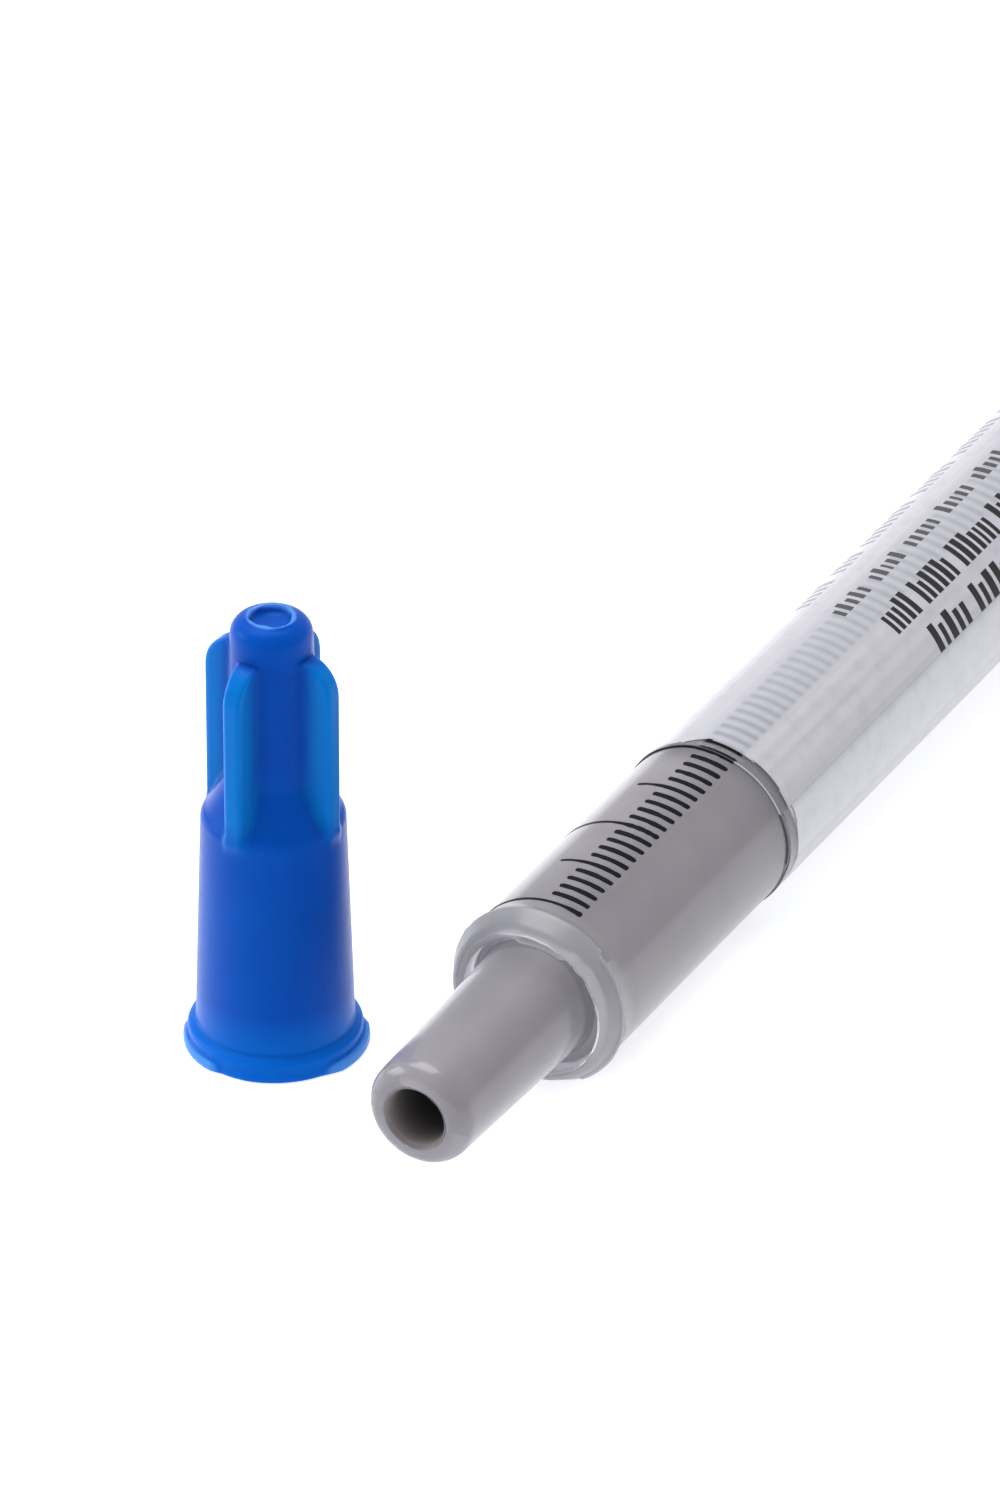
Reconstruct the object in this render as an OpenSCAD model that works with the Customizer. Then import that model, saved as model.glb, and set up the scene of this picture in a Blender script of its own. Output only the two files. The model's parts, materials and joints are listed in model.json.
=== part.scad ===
// One millilitre slip-tip syringe of heat-sink paste, with its tip cap standing beside it.
// Millimetres. Along the barrel, x runs from the nozzle mouth (x = 0) to the thumb rest.

/* [Barrel] */
// Outside diameter of the barrel tube
barrel_d = 6.6; // [6.4:0.1:6.8]
// Bore of the barrel tube
bore_d = 4.7; // [4.6:0.05:4.8]
// Nozzle mouth to the zero graduation
zero_x = 10; // [9.9:0.1:10.6]
// Last graduation to the back of the finger flange
barrel_tail = 11; // [10:0.5:14]

/* [Nozzle and collar] */
// Outside diameter of the nozzle at its mouth
nozzle_d = 4.0; // [3.9:0.01:4.1]
// Bore of the nozzle
outlet_d = 2.27; // [1.8:0.01:2.3]
// Diameter lost for each millimetre along the slip cone
cone_taper = 0.06; // [0.05:0.01:0.07]
// Nozzle mouth to the front face of the collar
collar_x = 8.2; // [7.8:0.1:8.2]
// Diameter of the collar
collar_d = 6.9; // [6.9:0.1:7.2]
// Length of the collar along the barrel
collar_len = 1.1; // [0.9:0.1:1.2]
// Diameter of the groove sunk into the collar's face around the nozzle
groove_d = 5.35; // [5.2:0.05:5.6]
// Depth of that groove
groove_depth = 0.65; // [0.3:0.05:0.7]

/* [Finger flange] */
// Span of the two finger ears
flange_w = 17; // [14:0.5:20]
// Height over the two flats that the syringe lies on
flange_h = 8; // [7.6:0.2:9]
// Thickness of the flange
flange_t = 1.6; // [1.2:0.1:2]

/* [Graduations] */
// Width of a graduation line
line_w = 0.22; // [0.15:0.01:0.25]
// Width of the part of a line that runs on past the short ones
long_line_w = 0.14; // [0.1:0.01:0.2]
// Thickness of the printed ink
ink_t = 0.012; // [0.008:0.002:0.02]

/* [Label] */
// Nozzle mouth to the front edge of the label
label_x = 21.5; // [20:0.5:24]
// Length of the label along the barrel
label_len = 48; // [40:1:50]
// Thickness of the label film
film_t = 0.04; // [0.03:0.01:0.06]

/* [Plunger] */
// Paste in the barrel, in millilitres
fill_ml = 1; // [0.6:0.1:1]
// Length of the rubber piston
piston_len = 5.6; // [5:0.1:6]
// Thickness of the plunger's four ribs
rib_t = 0.8; // [0.6:0.1:1]
// Diameter of the thumb rest
thumb_d = 8.6; // [8:0.2:9]
// Thickness of the thumb rest
thumb_t = 1.6; // [1.2:0.1:2]
// Gap between flange and thumb rest with the plunger pushed home
thumb_gap = 7; // [5:0.5:10]

/* [Tip cap] */
// Height of the cap
cap_h = 17.35; // [16.5:0.05:18]
// Diameter of the cap's body at its foot
cap_d = 5.72; // [5.6:0.02:5.8]
// Diameter of the solid hub at the top
hub_d = 2.92; // [2.6:0.02:3.1]
// Diameter over the lip around the mouth
lip_d = 6.56; // [6.3:0.02:6.8]
// Radius to the outer face of the four fins
fin_r = 2.64; // [2.62:0.02:2.8]
// Thickness of a fin
fin_t = 0.8; // [0.6:0.05:1]
// Depth of the tapered socket
socket_depth = 8.8; // [8:0.1:9]
// Where the cap stands: along the barrel from the nozzle mouth
cap_x = 6.9; // [0:0.1:20]
// Where the cap stands: sideways from the barrel's axis
cap_y = 9.45; // [8:0.05:12]

/* [Hidden] */
$fn = 96;

barrel_r = barrel_d / 2;
bore_r = bore_d / 2;
nozzle_r = nozzle_d / 2;
outlet_r = outlet_d / 2;
collar_r = collar_d / 2;
groove_r = groove_d / 2;
cone_slope = cone_taper / 2;

// one millilitre of this bore, and the hundredth of it between two lines
ml_len = 1000 / (PI * bore_r * bore_r);
line_pitch = ml_len / 100;

mouth_round = 0.66;      // rounding of the nozzle's rim
mouth_bevel = 0.12;      // bevel where the bore meets the rim
collar_bevel = 0.9;      // length of the bevel in front of the collar
collar_bevel_r = 0.55;   // and how much smaller it is at the face
collar_step = 0.15;      // bevel behind the collar
groove_fillet = 0.25;    // fillet at the nozzle's root
chamber_x = zero_x - 0.1;
funnel_len = 0.7;        // cone from the bore into the nozzle
flange_back = zero_x + ml_len + barrel_tail;
flange_front = flange_back - flange_t;
flange_fillet = 0.6;
flange_rim = 0.3;        // rounding of the flange's rim
stop_x = flange_front - 2.6;
stop_r = bore_r - 0.1;   // ridge that keeps the piston in
mouth_flare = 0.25;      // flare at the open end of the bore

piston_gap = 0.02;       // between paste and piston
piston_x = zero_x + fill_ml * ml_len;
piston_r = bore_r - 0.04;
piston_waist_r = piston_r - 0.28;
piston_land = 1.1;       // length of each sealing land
neck_r = 0.8;            // neck and button that hold the piston on the rod
button_r = 1.25;
neck_len = 1.3;
button_len = 1.1;
shoulder_r = bore_r - 0.15;
shoulder_t = 0.9;
rib_r = bore_r - 0.2;
thumb_r = thumb_d / 2;
thumb_front = piston_x + flange_back + thumb_gap - zero_x;
thumb_back = thumb_front + thumb_t;
thumb_dish = 0.3;        // hollow in the thumb rest
thumb_rim = 1.1;
thumb_round = 0.3;
web_len = 2.4;           // gussets in front of the thumb rest

empty_tip = 2.4;         // bare length of nozzle bore in front of the paste
ink_grip = 0.004;        // how far ink keys into the plastic under it
ink_r = barrel_r + ink_t;
film_r = ink_r + film_t;
seam_lap = 34;           // degrees of double film at the label's seam
seam_at = -65;

// printed lines: how far they run each way round from the top, in degrees
line_from = -21;
short_to = 5;
medium_to = 21.5;
long_to = 150;
stroke_gap = 0.3;        // between the broad and the thin stroke of a long line

// rows of plain print bars: start, angle round the barrel, height
print_rows = [[32.7, 37, 0.9], [32, 2.5, 0.68], [32.8, -27, 1.15], [34.2, -55, 1.1]];
print_end = label_x + label_len - 4;
word_lens = [3.4, 1.8, 4.6, 2.6, 3.8];
word_gap = 0.7;
print_t = 0.008;

cap_r = cap_d / 2;
hub_r = hub_d / 2;
lip_r = lip_d / 2;
socket_r = 2.2;          // mouth of the tapered socket
fin_turn = -4;
cap_draft = 0.031;       // how much the cap's body narrows for each millimetre up
shoulder_z = 9.2;        // where the body ends and the shoulder starts
hub_z = 10.9;            // where the shoulder meets the hub
hub_base_r = hub_r + 0.14;
hub_round = 0.7;
dimple_r = 0.75;
dimple_depth = 0.55;
lip_z = 0.85;
fin_foot_z = 8.7;
fin_top_z = 16.05;
fin_round = 1.15;

// how the syringe lies: on the collar's lower edge and on one flat of the flange
touch_x = collar_x + collar_bevel;
rest_tilt = atan((flange_h / 2 - collar_r) / (flange_front - touch_x));
lift = collar_r * cos(rest_tilt) - touch_x * sin(rest_tilt);

// middle of the whole set's footprint
front_end = -(nozzle_r - mouth_round) * sin(rest_tilt);
back_end = thumb_back * cos(rest_tilt) + (thumb_r - thumb_round) * sin(rest_tilt);
origin_x = (front_end + back_end) / 2;
origin_y = (cap_y + lip_r - flange_w / 2) / 2;

function nozzle_at(x) = nozzle_r + cone_slope * x;
function body_at(z) = cap_r - cap_draft * z;

// a stretch of circle, as points, from angle a to angle b
function arc(cx, cy, r, a, b, steps = 6) =
    [for (i = [0 : steps]) [cx + r * cos(a + (b - a) * i / steps), cy + r * sin(a + (b - a) * i / steps)]];

// lays a piece drawn along x where the syringe rests
module lying() {
    translate([-origin_x, -origin_y, lift])
        rotate([0, -rest_tilt, 0])
            children();
}

// turns a profile of [radius, x] points about the barrel's axis
module turned(profile) {
    rotate([0, 90, 0])
        rotate_extrude()
            polygon(profile);
}

// a raised patch on the barrel: from x0 for dx, from angle a0 to a1 round from the top
module patch(x0, dx, r0, r1, a0, a1) {
    translate([x0, 0, 0])
        rotate([-a0, 0, 0])
            rotate([0, 90, 0])
                rotate([0, 0, 180])
                    rotate_extrude(angle = -(a1 - a0))
                        translate([r0, 0])
                            square([r1 - r0, dx]);
}

module nozzle_and_tube() {
    groove_floor = collar_x + groove_depth;
    turned(concat(
        [[outlet_r, mouth_bevel], [outlet_r + mouth_bevel, 0]],
        arc(nozzle_r - mouth_round, mouth_round, mouth_round, -90, 0),
        [[nozzle_at(groove_floor - groove_fillet), groove_floor - groove_fillet]],
        [[nozzle_at(groove_floor) + groove_fillet * 0.3, groove_floor - groove_fillet * 0.3]],
        [[nozzle_at(groove_floor) + groove_fillet, groove_floor]],
        [[groove_r - 0.05, groove_floor], [groove_r, collar_x]],
        [[collar_r - collar_bevel_r, collar_x], [collar_r, touch_x]],
        [[collar_r, collar_x + collar_len - collar_step], [barrel_r, collar_x + collar_len]],
        arc(barrel_r + flange_fillet, flange_front - flange_fillet, flange_fillet, 180, 90),
        [[barrel_r + flange_fillet, flange_back], [bore_r + mouth_flare, flange_back]],
        [[bore_r, flange_back - 2 * mouth_flare], [bore_r, stop_x + 1.2], [stop_r, stop_x + 0.8]],
        [[stop_r, stop_x + 0.4], [bore_r, stop_x]],
        [[bore_r, chamber_x], [outlet_r, chamber_x - funnel_len]]
    ));
}

// a round disc with two flats, its rim rounded, open in the middle for the tube
module finger_flange() {
    intersection() {
        turned(concat(
            [[barrel_r - 0.3, flange_front]],
            arc(flange_w / 2 - flange_rim, flange_front + flange_rim, flange_rim, -90, 0),
            arc(flange_w / 2 - flange_rim, flange_back - flange_rim, flange_rim, 0, 90),
            [[barrel_r - 0.3, flange_back]]
        ));
        translate([flange_front - 1, -flange_w, -flange_h / 2])
            cube([flange_t + 2, 2 * flange_w, flange_h]);
    }
}

module barrel() {
    color([0.9, 0.9, 0.92, 0.5])
        lying() {
            nozzle_and_tube();
            finger_flange();
        }
}

// a hundred and one lines; every fifth runs on, every tenth runs right round the side
module scale_marks() {
    color([0.06, 0.06, 0.08])
        lying()
            for (i = [0 : 100]) {
                line_end = i % 10 == 0 ? long_to : i % 5 == 0 ? medium_to : short_to;
                x = zero_x + i * line_pitch;
                patch(x - line_w / 2, line_w, barrel_r - ink_grip, ink_r, line_from, short_to);
                if (line_end > short_to)
                    patch(x - long_line_w / 2, long_line_w, barrel_r - ink_grip, ink_r,
                        short_to + stroke_gap, line_end);
            }
}

// clear film wound once round the barrel over the lines, its end lapped at the seam
module label() {
    color([0.82, 0.82, 0.86])
        lying() {
            turned([
                [ink_r, label_x], [film_r, label_x],
                [film_r, label_x + label_len], [ink_r, label_x + label_len]
            ]);
            patch(label_x, label_len, film_r - ink_grip, film_r + film_t, seam_at - seam_lap, seam_at);
        }
}

// plain bars in rows along the label, in place of any wording
module label_print() {
    color([0.1, 0.1, 0.12])
        lying()
            for (row = print_rows)
                print_row(row[0], row[1], row[2]);
}

// bars as long as words, each in a cell that fits the longest
module print_row(x0, at, height) {
    half = height / film_r * 90 / PI;
    pitch = max(word_lens) + word_gap;
    for (i = [0 : floor((print_end - x0) / pitch) - 1])
        patch(x0 + i * pitch, word_lens[i % len(word_lens)], film_r - ink_grip, film_r + print_t,
            at - half, at + half);
}

// paste filling the barrel in front of the piston and most of the nozzle
module paste() {
    color([0.55, 0.54, 0.56])
        lying()
            turned([
                [0, empty_tip], [outlet_r, empty_tip],
                [outlet_r, chamber_x - funnel_len], [bore_r, chamber_x],
                [bore_r, piston_x - piston_gap], [0, piston_x - piston_gap]
            ]);
}

// rubber piston with two sealing lands, hollow for the rod's button
module piston() {
    back = piston_x + piston_len;
    color([0.13, 0.13, 0.14])
        lying()
            turned([
                [0, piston_x], [piston_r - 0.3, piston_x],
                [piston_r, piston_x + 0.3], [piston_r, piston_x + piston_land],
                [piston_waist_r, piston_x + piston_land + 0.3],
                [piston_waist_r, back - piston_land - 0.3],
                [piston_r, back - piston_land], [piston_r, back - 0.2], [piston_r - 0.2, back],
                [neck_r, back], [neck_r, back - neck_len],
                [button_r, back - neck_len], [button_r, back - neck_len - button_len],
                [0, back - neck_len - button_len]
            ]);
}

// moulded rod: button, shoulder, four ribs and a dished thumb rest with gussets
module plunger_rod() {
    back = piston_x + piston_len;
    color([0.92, 0.92, 0.93])
        lying() {
            turned([
                [0, back - neck_len - button_len], [button_r, back - neck_len - button_len],
                [button_r, back - neck_len], [neck_r, back - neck_len], [neck_r, back],
                [shoulder_r, back], [shoulder_r, back + shoulder_t], [0, back + shoulder_t]
            ]);
            for (turn = [0, 90])
                rotate([turn, 0, 0])
                    plunger_ribs(back + shoulder_t / 2);
            turned(concat(
                [[0, thumb_front]],
                arc(thumb_r - thumb_round, thumb_front + thumb_round, thumb_round, -90, 0),
                arc(thumb_r - thumb_round, thumb_back - thumb_round, thumb_round, 0, 90),
                [[thumb_r - thumb_rim, thumb_back], [thumb_r - thumb_rim - 0.4, thumb_back - thumb_dish]],
                [[0, thumb_back - thumb_dish]]
            ));
        }
}

// one pair of opposite ribs, spreading into gussets at the thumb rest
module plunger_ribs(from_x) {
    gusset_r = thumb_r - 1.2;
    rotate([90, 0, 0])
        linear_extrude(height = rib_t, center = true)
            polygon([
                [from_x, -rib_r], [thumb_front - web_len, -rib_r],
                [thumb_front + 0.2, -gusset_r], [thumb_front + 0.2, gusset_r],
                [thumb_front - web_len, rib_r], [from_x, rib_r]
            ]);
}

// blue cap: tapered socket below, solid hub above, four fins to turn it by
module tip_cap() {
    color([0.02, 0.33, 0.75])
        translate([cap_x - origin_x, cap_y - origin_y, 0]) {
            rotate_extrude()
                polygon(cap_profile());
            for (i = [0 : 3])
                rotate([0, 0, fin_turn + 90 * i])
                    cap_fin();
        }
}

function cap_profile() = concat(
    [[socket_r, 0], [lip_r - 0.12, 0], [lip_r, 0.14], [lip_r, 0.34], [lip_r - 0.16, 0.46]],
    arc(lip_r - 0.36, lip_z - 0.2, 0.2, 0, 90),
    [[body_at(lip_z) + 0.1, lip_z], [body_at(lip_z + 0.15), lip_z + 0.15]],
    arc(body_at(shoulder_z) - 0.5, shoulder_z, 0.5, 0, 50),
    [[hub_base_r + 0.12, hub_z - 0.14], [hub_base_r, hub_z + 0.1]],
    arc(hub_r - hub_round, cap_h - hub_round, hub_round, 0, 80),
    [[dimple_r + 0.1, cap_h], [dimple_r - 0.05, cap_h - 0.12], [dimple_r - 0.15, cap_h - dimple_depth]],
    [[0, cap_h - dimple_depth], [0, socket_depth]],
    [[socket_r - cone_slope * socket_depth, socket_depth]]
);

module cap_fin() {
    rotate([90, 0, 0])
        linear_extrude(height = fin_t, center = true)
            polygon(concat(
                [[hub_r - 0.5, hub_z], [body_at(shoulder_z) - 0.3, shoulder_z]],
                [[body_at(fin_foot_z) - 0.1, fin_foot_z], [fin_r, fin_foot_z + 0.5]],
                arc(fin_r - fin_round, fin_top_z - fin_round, fin_round, 0, 90),
                [[hub_r - 0.5, fin_top_z]]
            ));
}

barrel();
scale_marks();
label();
label_print();
paste();
piston();
plunger_rod();
tip_cap();
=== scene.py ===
import json
import math

import bmesh
import bpy
import numpy as np
from mathutils import Matrix, Vector, noise


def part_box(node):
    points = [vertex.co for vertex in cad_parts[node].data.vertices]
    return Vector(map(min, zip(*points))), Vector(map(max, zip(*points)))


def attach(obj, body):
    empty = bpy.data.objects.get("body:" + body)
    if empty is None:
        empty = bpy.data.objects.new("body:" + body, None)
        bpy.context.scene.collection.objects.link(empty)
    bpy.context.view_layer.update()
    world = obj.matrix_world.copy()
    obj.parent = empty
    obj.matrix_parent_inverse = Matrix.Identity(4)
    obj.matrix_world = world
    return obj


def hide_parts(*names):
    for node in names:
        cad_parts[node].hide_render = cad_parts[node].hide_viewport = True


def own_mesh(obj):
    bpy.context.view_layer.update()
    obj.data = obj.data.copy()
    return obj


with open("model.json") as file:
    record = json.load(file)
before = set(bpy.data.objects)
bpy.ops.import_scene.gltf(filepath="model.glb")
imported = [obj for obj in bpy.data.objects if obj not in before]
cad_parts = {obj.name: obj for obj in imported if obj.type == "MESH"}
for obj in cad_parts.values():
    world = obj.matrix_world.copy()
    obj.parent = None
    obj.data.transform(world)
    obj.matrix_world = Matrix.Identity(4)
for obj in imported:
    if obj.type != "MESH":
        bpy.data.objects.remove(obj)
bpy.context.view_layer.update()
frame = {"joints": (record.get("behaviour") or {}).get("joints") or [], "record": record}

# ---------------------------------------------------------------------------------------------
# Table, studio light and camera: a plain pale table top before a white backdrop, one wide soft
# lamp overhead and a weaker one from the left, and a long lens that looks down on the nozzle from
# in front.
MM = 0.001
mounts = {m["name"]: m for m in frame["record"]["mounts"]}
joints = {j["name"]: j for j in frame["joints"]}
mouth = Vector(mounts["nozzle_cone"]["pos_m"])
barrel_axis = -Vector(joints["plunger_slide"]["axis"])

look_round = math.radians(28.67)   # the view turns this far left of the barrel
look_down = math.radians(31.32)
look_from = 463.2 * MM
aim = Vector((mouth.x + 27.84 * MM, mouth.y + 11.84 * MM, 0.0))
view_dir = Vector((
    math.cos(look_down) * math.cos(look_round),
    math.cos(look_down) * math.sin(look_round),
    -math.sin(look_down),
))
view_left = Vector((-math.sin(look_round), math.cos(look_round), 0.0))
view_far = Vector((math.cos(look_round), math.sin(look_round), 0.0))

camera = bpy.data.objects.new("camera", bpy.data.cameras.new("camera"))
camera.data.sensor_fit = "HORIZONTAL"
camera.data.sensor_width = 36.0
camera.data.lens = 453.3
camera.data.clip_start = 0.01
camera.location = aim - look_from * view_dir
camera.rotation_euler = view_dir.to_track_quat("-Z", "Y").to_euler()
bpy.context.scene.collection.objects.link(camera)
bpy.context.scene.camera = camera
bpy.context.scene.view_settings.view_transform = "Standard"


def soft_lamp(name, place, wide, painted_bore_shade, watts):
    """A rectangular lamp at a place, turned towards the aim; sizes are in metres."""
    lamp = bpy.data.lights.new(name, "AREA")
    lamp.shape = "RECTANGLE"
    lamp.size = wide
    lamp.size_y = painted_bore_shade
    lamp.energy = watts
    holder = bpy.data.objects.new(name, lamp)
    holder.location = place
    holder.rotation_euler = (aim - place).to_track_quat("-Z", "Y").to_euler()
    bpy.context.scene.collection.objects.link(holder)


soft_lamp("overhead", aim + Vector((0, 0, 0.60)) + 0.12 * view_far + 0.10 * view_left,
          wide=0.50, painted_bore_shade=0.50, watts=3.6)
soft_lamp("left_side", aim + Vector((0, 0, 0.22)) + 0.55 * view_left + 0.05 * view_far,
          wide=0.35, painted_bore_shade=0.25, watts=1.3)


def by_ray(tree, ray, usual, other, end):
    """Feeds the end node from the usual shader, and from the other one for one kind of ray."""
    path = tree.nodes.new("ShaderNodeLightPath")
    mixed = tree.nodes.new("ShaderNodeMixShader")
    tree.links.new(path.outputs[ray], mixed.inputs[0])
    tree.links.new(usual.outputs[0], mixed.inputs[1])
    tree.links.new(other.outputs[0], mixed.inputs[2])
    tree.links.new(mixed.outputs[0], tree.nodes[end].inputs["Surface"])


def studio_world():
    """Even light from all round; past the table's edge the camera sees a plain white backdrop."""
    made = bpy.data.worlds.new("studio")
    made.use_nodes = True
    tree = made.node_tree
    room = tree.nodes["Background"]
    room.inputs["Color"].default_value = (0.98, 0.99, 1.0, 1.0)
    room.inputs["Strength"].default_value = 0.72
    backdrop = tree.nodes.new("ShaderNodeBackground")
    backdrop.inputs["Color"].default_value = (1.0, 1.0, 1.0, 1.0)
    by_ray(tree, "Is Camera Ray", room, backdrop, "World Output")
    return made


bpy.context.scene.world = studio_world()


def principled(name):
    """A new material and its Principled shader."""
    made = bpy.data.materials.new(name)
    made.use_nodes = True
    return made, made.node_tree.nodes["Principled BSDF"]


def table_finish():
    """Matt pale board that gives off a little light, so that shadows on it stay pale."""
    made, shader = principled("pale_table")
    shader.inputs["Base Color"].default_value = (0.70, 0.70, 0.71, 1.0)
    shader.inputs["Roughness"].default_value = 0.7
    shader.inputs["Specular IOR Level"].default_value = 0.2
    shader.inputs["Emission Color"].default_value = (0.97, 0.98, 1.0, 1.0)
    shader.inputs["Emission Strength"].default_value = 0.62
    return made


table_mesh = bpy.data.meshes.new("table_top")
table_half = 1.5   # metres
table_mesh.from_pydata(
    [(x * table_half, y * table_half, 0.0) for x, y in ((-1, -1), (1, -1), (1, 1), (-1, 1))],
    [], [(0, 1, 2, 3)])
table_mesh.materials.append(table_finish())
table = bpy.data.objects.new("table_top", table_mesh)
bpy.context.scene.collection.objects.link(table)

# ---------------------------------------------------------------------------------------------
# Barrel: nozzle, collar, tube and finger flange, moulded in one piece of clear polypropylene.
# The nozzle is a slip cone that comes out of a sunk groove in the collar's face; the flange is a
# round disc with two flats, and the syringe lies on one of them.
side = Vector((0.0, 1.0, 0.0))
raised = barrel_axis.cross(side)
lay = (   # from millimetres behind the mouth, sideways and up, to where the barrel lies
    Matrix.Translation(mouth)
    @ Matrix((barrel_axis, side, raised)).transposed().to_4x4()
    @ Matrix.Scale(MM, 4))

barrel_r = mounts["barrel_grip"]["dims"]["r_mm"]
nozzle_r = mounts["nozzle_cone"]["dims"]["r_mm"]
collar_x = mounts["nozzle_cone"]["dims"]["length_mm"]
bore_r = 2.35
outlet_r = 1.135
collar_r = 3.45
collar_end = collar_x + 1.1
cone_slope = 0.03   # radius gained per millimetre, on the nozzle and in the cap's socket
millilitre = 1000.0 / (math.pi * bore_r ** 2)   # length of bore that holds one
zero_x = 10.0   # the zero line, behind the mouth
chamber_x = zero_x - 0.1
funnel_x = chamber_x - 0.7
tube_spare = 11.0   # barrel behind the last line
flange_back = zero_x + millilitre + tube_spare
flange_front = flange_back - 1.6
flange_r = 8.5
flat_half = 4.0
groove_floor = collar_x + 0.65
groove_r = 2.68
mouth_bevel = 0.2
thin_from = 22.0   # the tube is clearest behind here
in_clear, in_milky, in_thin = range(3)   # the order of the barrel's materials


def bend(cx, cy, r, start, stop, steps=7):
    """Points on a circle from angle start to stop, in degrees."""
    turns = [math.radians(start + (stop - start) * i / steps) for i in range(steps + 1)]
    return [(cx + r * math.cos(a), cy + r * math.sin(a)) for a in turns]


def hump(angle, middle, half):
    """1 at the middle angle, falling smoothly to 0 half away, all in degrees."""
    off = abs((angle - middle + 180.0) % 360.0 - 180.0)
    return 0.5 + 0.5 * math.cos(math.pi * off / half) if off < half else 0.0


def plateau(angle, start, stop, soft):
    """1 between two angles, with soft ends."""
    off = max((start - angle), (angle - stop))
    return min(1.0, max(0.0, 0.5 - off / soft))


def round_at(x, r, angle):
    """The point at x along the barrel and r from its axis, at an angle in degrees from the top."""
    turn = math.radians(angle)
    return x, r * math.sin(turn), r * math.cos(turn)


def ring_faces(rings, n):
    """Faces between closed rings of n points, the last ring joined to the first."""
    faces = []
    for k in range(rings):
        for i in range(n):
            a, b = k * n + i, k * n + (i + 1) % n
            c, d = ((k + 1) % rings) * n + (i + 1) % n, ((k + 1) % rings) * n + i
            faces.append((a, b, c, d))
    return faces


def turned(outline, steps, reshape=None):
    """Vertices and faces of a closed outline of (x, r) turned about the barrel's axis.

    Angles run from the top towards the side that the cap stands on. reshape moves single points.
    """
    verts = []
    for k in range(steps):
        angle = 360.0 * k / steps
        angle = angle - 360.0 if angle > 180.0 else angle
        for x, r in outline:
            x, r = reshape(x, r, angle) if reshape else (x, r)
            verts.append(round_at(x, r, angle))
    return verts, ring_faces(steps, len(outline))


def piece(name, parts, materials, body, nodes, place=lay, sharp=32.0, face_material=None):
    """One object from a list of (vertices, faces), put in place, welded and shaded.

    Edges bent by more than sharp degrees stay crisp. face_material picks a material by the centre
    of a face.
    """
    made = bpy.data.meshes.new(name)
    verts, faces = [], []
    for part_verts, part_faces in parts:
        start = len(verts)
        verts.extend(part_verts)
        faces.extend(tuple(start + i for i in face) for face in part_faces)
    made.from_pydata(verts, [], faces)
    for material in materials:
        made.materials.append(material)
    if face_material is not None:
        for polygon in made.polygons:
            polygon.material_index = face_material(polygon.center)
    made.transform(place)
    work = bmesh.new()
    work.from_mesh(made)
    bmesh.ops.remove_doubles(work, verts=work.verts, dist=1e-4 * MM)
    bmesh.ops.dissolve_degenerate(work, edges=work.edges, dist=1e-5 * MM)
    bmesh.ops.recalc_face_normals(work, faces=work.faces)
    work.to_mesh(made)
    work.free()
    made.shade_smooth()
    made.set_sharp_from_angle(angle=math.radians(sharp))
    obj = bpy.data.objects.new(name, made)
    bpy.context.scene.collection.objects.link(obj)
    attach(obj, body)
    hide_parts(*nodes)
    return obj


def new_group(name, inputs, outputs):
    """An empty shader node group with float or vector sockets, and its two end nodes."""
    group = bpy.data.node_groups.new(name, "ShaderNodeTree")
    for label, start in inputs:
        socket = group.interface.new_socket(label, in_out="INPUT", socket_type="NodeSocketFloat")
        socket.default_value = start
    for label, kind in outputs:
        group.interface.new_socket(label, in_out="OUTPUT", socket_type=kind)
    return group, group.nodes.new("NodeGroupInput"), group.nodes.new("NodeGroupOutput")


def sums(tree, kind, a, b, clamp=False):
    """A Math node of a kind on two values or sockets; returns its output."""
    node = tree.nodes.new("ShaderNodeMath")
    node.operation = kind
    node.use_clamp = clamp
    for socket, value in ((node.inputs[0], a), (node.inputs[1], b)):
        if isinstance(value, (int, float)):
            socket.default_value = value
        else:
            tree.links.new(value, socket)
    return node.outputs[0]


def moulded_skin_group():
    """Uneven gloss and the faint ripple of a moulded surface, at sizes in millimetres."""
    group, given, result = new_group(
        "moulded_skin",
        [("Grain Size", 0.4), ("Roughness", 0.3), ("Spread", 0.1), ("Ripple Size", 3.0)],
        [("Roughness", "NodeSocketFloat"), ("Height", "NodeSocketFloat")])
    place = group.nodes.new("ShaderNodeTexCoord")
    grain = group.nodes.new("ShaderNodeTexNoise")
    grain.inputs["Detail"].default_value = 2.0
    ripple = group.nodes.new("ShaderNodeTexNoise")
    ripple.inputs["Detail"].default_value = 1.0
    for texture, size in ((grain, "Grain Size"), (ripple, "Ripple Size")):
        group.links.new(place.outputs["Object"], texture.inputs["Vector"])
        group.links.new(sums(group, "DIVIDE", 1.0 / MM, given.outputs[size]), texture.inputs["Scale"])
    off = sums(group, "SUBTRACT", grain.outputs["Fac"], 0.5)
    uneven = sums(group, "MULTIPLY", off, given.outputs["Spread"])
    rough = sums(group, "ADD", uneven, given.outputs["Roughness"], clamp=True)
    group.links.new(rough, result.inputs["Roughness"])
    faint_grain = sums(group, "MULTIPLY", grain.outputs["Fac"], 0.25)
    height = sums(group, "ADD", ripple.outputs["Fac"], faint_grain)
    group.links.new(height, result.inputs["Height"])
    return group


moulded_skin = moulded_skin_group()


def skin_on(material, shader, grain, rough, spread, ripple, height):
    """Feeds a shader's roughness and bump from the moulded_skin group, sizes in millimetres."""
    tree = material.node_tree
    skin = tree.nodes.new("ShaderNodeGroup")
    skin.node_tree = moulded_skin
    values = (("Grain Size", grain), ("Roughness", rough), ("Spread", spread), ("Ripple Size", ripple))
    for label, value in values:
        skin.inputs[label].default_value = value
    tree.links.new(skin.outputs["Roughness"], shader.inputs["Roughness"])
    bump = tree.nodes.new("ShaderNodeBump")
    bump.inputs["Distance"].default_value = height * MM
    bump.inputs["Strength"].default_value = 1.0
    tree.links.new(skin.outputs["Height"], bump.inputs["Height"])
    tree.links.new(bump.outputs["Normal"], shader.inputs["Normal"])


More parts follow.
